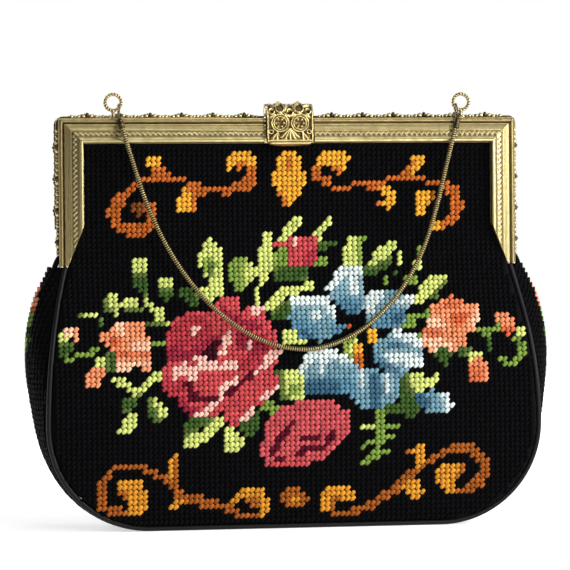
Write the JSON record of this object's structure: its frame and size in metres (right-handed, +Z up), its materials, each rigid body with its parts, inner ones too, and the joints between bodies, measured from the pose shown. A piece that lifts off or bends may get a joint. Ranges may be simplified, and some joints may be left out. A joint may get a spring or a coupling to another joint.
{
  "type": "embroidered handbag",
  "caption": "Needlepoint handbag with floral motifs on black, a hinged brass frame, a lift clasp and a snake chain handle.",
  "frame": {"origin": "under the middle of the bag, on the surface it stands on", "axes": "+X to the viewer's right along the frame, -Y to the embroidered front, +Z up"},
  "size_m": [0.2642, 0.0534, 0.2177],
  "materials": {
    "black_canvas": "wool needlepoint",
    "piping_leather": "satin",
    "lining_satin": "satin",
    "rose_wool": "wool needlepoint",
    "blue_wool": "wool needlepoint",
    "peach_wool": "wool needlepoint",
    "gold_wool": "wool needlepoint",
    "green_wool": "wool needlepoint",
    "frame_brass": "antique polish",
    "chain_brass": "antique polish"
  },
  "bodies": {
    "bag": {"front_panel": "black_canvas", "rear_panel": "black_canvas", "gusset": "black_canvas", "front_piping": "piping_leather", "rear_piping": "piping_leather", "front_lining": "lining_satin", "rear_lining": "lining_satin", "gusset_lining": "lining_satin", "rose_embroidery": "rose_wool", "blue_flower_embroidery": "blue_wool", "peach_bud_embroidery": "peach_wool", "scroll_embroidery": "gold_wool", "leaf_embroidery": "green_wool", "front_frame": "frame_brass", "front_gallery": "frame_brass", "left_hinge_pin": "frame_brass", "right_hinge_pin": "frame_brass", "left_eyelet": "frame_brass", "right_eyelet": "frame_brass", "clasp_bracket": "frame_brass", "clasp_pin": "frame_brass"},
    "rear_half": {"rear_frame": "frame_brass", "rear_gallery": "frame_brass", "clasp_catch": "frame_brass"},
    "clasp": {"clasp_cover": "frame_brass"},
    "handle": {"handle_chain": "chain_brass", "left_chain_cap": "chain_brass", "right_chain_cap": "chain_brass", "left_link": "chain_brass", "right_link": "chain_brass"}
  },
  "joints": [
    {"name": "frame_hinge", "type": "hinge", "parent": "bag", "child": "rear_half", "pos_m": [0, 0, 0.135], "axis": [-1, 0, 0], "range_deg": [0, 60], "deforming": ["rear_panel", "rear_lining"]},
    {"name": "clasp_lift", "type": "hinge", "parent": "bag", "child": "clasp", "pos_m": [0, -0.0045, 0.2088], "axis": [-1, 0, 0], "range_deg": [0, 85]},
    {"name": "handle_swing", "type": "hinge", "parent": "bag", "child": "handle", "pos_m": [0, -0.007, 0.20996], "axis": [-1, 0, 0], "range_deg": [0, 100]}
  ]
}
